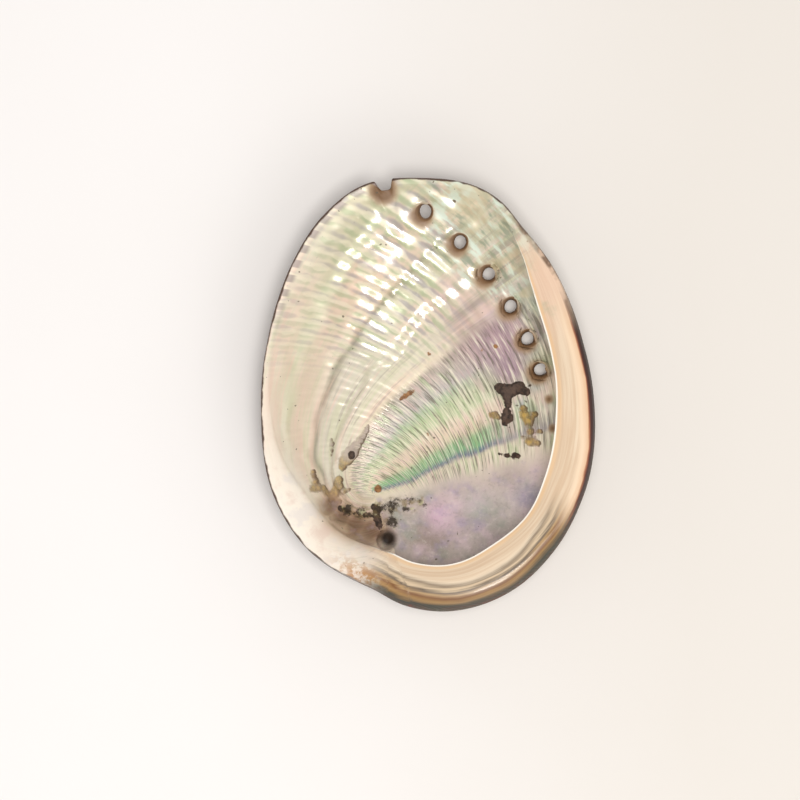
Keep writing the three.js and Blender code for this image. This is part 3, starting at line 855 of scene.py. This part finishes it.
def cream_shelf(p):
    """Cream shelf with a tan line inside and a painted highlight along its inner edge, and its margin:
    red-brown to the right, striped behind.
    """
    place, across = p.place(), p.field("across")
    tail, flank, brow = p.field("tail"), p.field("flank"), p.field("brow")
    clouds = p.noise(place, 60.0, 4.0, 0.6)
    along, turn = p.times(p.field("stage"), 0.012), p.times(p.field("cord"), 0.02)
    streaks = p.noise(p.vector(p.times(across, 9.0), along, turn), 1.6, 4.0, 0.6)
    level = p.roughen(p.field("inset"), p.noise(place, 45.0, 3.0), 3.0)

    cream = p.mix(p.rise(streaks, 0.38, 0.66), paint(217, 189, 159), paint(232, 211, 184))
    cream = p.mix(p.times(brow, 0.6), cream, paint(228, 192, 168))
    cream = p.mix(p.times(p.rise(clouds, 0.55, 0.7), brow, 0.6), cream, paint(176, 174, 142))
    cream = p.mix(p.times(p.rise(across, 0.87, 0.93), 0.6), cream, paint(232, 190, 142))
    # painted highlight: a near-white line along the shelf's sharp inner edge
    cream = p.mix(p.rise(across, 0.96, 0.985), cream, paint(253, 247, 236))
    ragged = p.roughen(level, streaks, 2.0)
    side = p.ramp(p.times(ragged, 0.1), [
        (0.0, (38, 22, 18)), (0.15, (66, 32, 24)), (0.18, (120, 62, 42)), (0.22, (170, 112, 78)),
        (0.26, (224, 186, 150)), (0.45, (238, 212, 182)),
    ])
    behind = p.ramp(p.times(p.roughen(ragged, streaks, 2.0), 0.06), [
        (0.0, (32, 36, 26)), (0.12, (56, 54, 38)), (0.17, (120, 92, 50)), (0.23, (164, 126, 74)),
        (0.3, (124, 82, 46)), (0.36, (182, 148, 104)), (0.43, (112, 98, 84)), (0.49, (216, 192, 160)),
        (0.57, (150, 132, 112)), (0.66, (238, 220, 194)),
    ])
    colour = p.mix(p.times(p.fall(level, 4.5, 6.5), flank), cream, side)
    colour = p.mix(p.times(p.fall(level, 9.5, 12.0), tail), colour, behind)
    margin = p.fall(level, 1.6, 3.0)
    dirt = p.times(brow, p.fall(level, 1.4, 2.4), p.rise(clouds, 0.36, 0.5))
    colour = p.mix(dirt, colour, paint(92, 64, 42))
    height = p.times(p.math("ADD", streaks, p.times(p.noise(place, 500.0, 3.0), margin)), 0.5)
    return {"colour": colour, "rough": p.math("MULTIPLY_ADD", margin, 0.2, 0.4), "metal": 0.0,
            "coat": p.math("MULTIPLY_ADD", margin, -0.14, 0.15), "height": height}


def back_crust(p):
    """Dull brick red and olive back with growth lamellae and pale chalky patches."""
    place, cord, stage = p.place(), p.field("cord"), p.field("stage")
    clouds = p.noise(place, 60.0, 4.0, 0.6)
    bloom = p.noise(p.vector(p.times(stage, 0.09), p.times(cord, 0.25)), 1.2, 4.0, 0.6)
    colour = p.mix(p.rise(clouds, 0.35, 0.65), paint(92, 68, 52), paint(124, 116, 94))
    colour = p.mix(p.rise(bloom, 0.45, 0.7), colour, paint(138, 68, 50))
    colour = p.mix(p.rise(p.noise(place, 240.0, 3.0), 0.6, 0.75), colour, paint(176, 168, 148))
    below_lip = p.rise(p.field("across"), -0.12, 0.1)
    colour = p.mix(p.times(below_lip, p.rise(clouds, 0.3, 0.6), 0.75), colour, paint(56, 52, 38))
    lamellae = p.wave(p.times(stage, 0.55))
    height = p.math("MULTIPLY_ADD", lamellae, 0.3, p.noise(place, 700.0, 4.0, 0.6))
    return {"colour": colour, "rough": 0.75, "metal": 0.0, "coat": 0.0, "height": p.times(height, 1.6)}


def lay_over(p, weight, below, above):
    """One layer over another, each with its colour and its values, by a weight."""
    laid = {name: p.lerp(weight, below[name], above[name]) for name in below if name != "colour"}
    laid["colour"] = p.mix(weight, below["colour"], above["colour"])
    return laid


def lip_marks(p, pearl):
    """Marks on the pearl near the lip: grey facets, brown scabs, the roll's veil and orange specks."""
    across, inset, place = p.field("across"), p.field("inset"), p.place()
    facet = p.times(p.rise(p.wave(p.field("cord"), 1.4), -0.3, 0.3), p.fall(across, 1.0, 1.12))
    colour = p.mix(p.times(facet, p.field("facet"), 0.75), pearl["colour"], paint(164, 150, 148))
    scab = p.times(p.field("crustlet"), p.rise(p.noise(place, 230.0, 4.0, 0.6), 0.4, 0.55))
    colour = p.mix(p.times(scab, p.fall(inset, 1.2, 2.6)), colour, paint(98, 68, 44))
    plain, veil = p.field("plain"), p.noise(place, 110.0, 4.0, 0.6)
    colour = p.mix(p.times(p.rise(veil, 0.5, 0.68), plain, 0.6), colour, paint(226, 198, 182))
    colour = p.mix(p.times(p.fall(veil, 0.34, 0.48), plain, 0.5), colour, paint(226, 218, 214))
    peck = p.rise(p.noise(place, 420.0, 4.0, 0.65), 0.42, 0.56)
    speckle = p.times(p.field("freckle"), p.fall(inset, 3.0, 9.0), peck)
    rubbed = p.times(p.field("facet"), p.fall(across, 1.05, 1.4))
    return {
        "colour": p.mix(speckle, colour, paint(190, 134, 78)),
        "rough": p.math("MULTIPLY_ADD", rubbed, 0.25, pearl["rough"]),
        "metal": pearl["metal"],
        "coat": p.times(pearl["coat"], p.math("MULTIPLY_ADD", rubbed, -0.9, 1.0)),
        "height": pearl["height"],
    }


def shell_wall():
    """The shell's one finish: pearl inside, the shelf round it, a thin dark lip and the crusted back."""
    material, p, shader = new_material("shell_wall")
    across, ledge = p.field("across"), p.field("ledge")
    pearl = lip_marks(p, mother_of_pearl(p))
    shelf = p.times(ledge, p.fall(across, 1.0, 1.012))
    laid = lay_over(p, shelf, pearl, cream_shelf(p))
    chipped = p.roughen(p.field("inset"), p.noise(p.place(), 190.0, 3.0), 1.6)
    lip_line = p.times(p.fall(chipped, 0.4, 0.9), p.fall(across, 0.9, 1.0), p.rest_of(ledge))
    laid["colour"] = p.mix(lip_line, laid["colour"], paint(82, 60, 48))
    ragged = p.roughen(across, p.noise(p.place(), 160.0, 3.0), 0.16)
    laid = lay_over(p, p.fall(ragged, 0.06, 0.2), laid, back_crust(p))
    feed(p, shader, base_color=laid["colour"], roughness=laid["rough"], metallic=laid["metal"],
         coat_weight=laid["coat"], coat_roughness=0.12, normal=p.bump(laid["height"], 0.5, 0.0005))
    return material


def build_shell():
    """The shell's mesh with its fields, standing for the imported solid."""
    points, quads, fields, tint = shell_surface()
    mesh = bpy.data.meshes.new("abalone_shell")
    mesh.from_pydata((points * METRES).tolist(), [], quads.tolist())
    mesh.materials.append(shell_wall())
    for name, field in fields.items():
        mesh.attributes.new(name, "FLOAT", "POINT").data.foreach_set("value", field)
    tint = np.concatenate([tint, np.ones((len(tint), 1))], axis=1)
    mesh.attributes.new("tint", "FLOAT_COLOR", "POINT").data.foreach_set("color", tint.ravel())
    mesh.shade_smooth()
    mesh.set_sharp_from_angle(angle=np.radians(85))
    mesh.update()
    shell = bpy.data.objects.new("abalone_shell", mesh)
    bpy.context.collection.objects.link(shell)
    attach(shell, "root")
    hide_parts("shell")


# Photograph's framing: the place under the middle of the picture, and the width that it covers.
VIEW_CENTRE = (-15.8, 6.4, 36.0)
VIEW_WIDTH = 275.9
CAMERA_DISTANCE = 1600
SENSOR_WIDTH = 36


def build_table():
    """A pale level table under the shell, with painted shade: a little darker and warmer to the right.
    """
    material, p, shader = new_material("pale_table")
    across = p.node("ShaderNodeSeparateXYZ", {0: p.place()}).outputs["X"]
    # painted shade: darker and warmer towards the right, with a faint mottle
    darker_to_right = p.math("MULTIPLY_ADD", p.noise(p.place(), 12.0, 2.0), 0.2, p.rise(across, -0.12, 0.14))
    feed(p, shader, base_color=p.mix(darker_to_right, paint(241, 238, 237), paint(226, 220, 213)), roughness=0.6)
    half = 3.0
    corners = [(-half, -half, 0), (half, -half, 0), (half, half, 0), (-half, half, 0)]
    mesh = bpy.data.meshes.new("table_top")
    mesh.from_pydata(corners, [], [(0, 1, 2, 3)])
    mesh.materials.append(material)
    table = bpy.data.objects.new("table_top", mesh)
    bpy.context.collection.objects.link(table)


def area_light(name, towards, distance, size, power, glints):
    """A square lamp that shines at the shell from one direction, for glints or for soft light."""
    lamp = bpy.data.lights.new(name, "AREA")
    lamp.size = size
    lamp.energy = power
    lamp.color = (1.0, 0.99, 0.97)
    light = bpy.data.objects.new(name, lamp)
    light.visible_glossy = glints
    light.visible_diffuse = not glints
    direction = np.array(towards) / np.linalg.norm(towards)
    light.location = direction * distance
    pitch = np.arccos(direction[2])
    light.rotation_euler = (pitch, 0, np.arctan2(direction[1], direction[0]) + np.pi / 2)
    bpy.context.collection.objects.link(light)


def build_studio():
    """Camera straight above, two small lamps for glints to the front right, and soft light all round."""
    camera = bpy.data.cameras.new("overhead")
    camera.sensor_width = SENSOR_WIDTH
    camera.lens = SENSOR_WIDTH * CAMERA_DISTANCE / VIEW_WIDTH
    camera.clip_end = 20
    view = bpy.data.objects.new("overhead", camera)
    x, y, z = VIEW_CENTRE
    view.location = (x * METRES, y * METRES, (z + CAMERA_DISTANCE) * METRES)
    bpy.context.collection.objects.link(view)
    scene = bpy.context.scene
    scene.camera = view
    area_light("window", (0.45, -0.75, 1.0), 1.1, 0.23, 5.4, True)
    area_light("low_window", (0.55, -1.35, 0.85), 1.1, 0.27, 8.8, True)
    area_light("soft_window", (0.4, -0.55, 1.0), 1.4, 0.8, 2.6, False)
    area_light("overhead_lamp", (0.03, -0.04, 1.0), 1.9, 0.5, 23, False)
    world = bpy.data.worlds.new("room")
    world.use_nodes = True
    world.node_tree.nodes["Background"].inputs["Color"].default_value = (1.0, 0.98, 0.96, 1)
    world.node_tree.nodes["Background"].inputs["Strength"].default_value = 0.46
    scene.world = world
    scene.view_settings.view_transform = "Standard"


build_shell()
build_table()
build_studio()
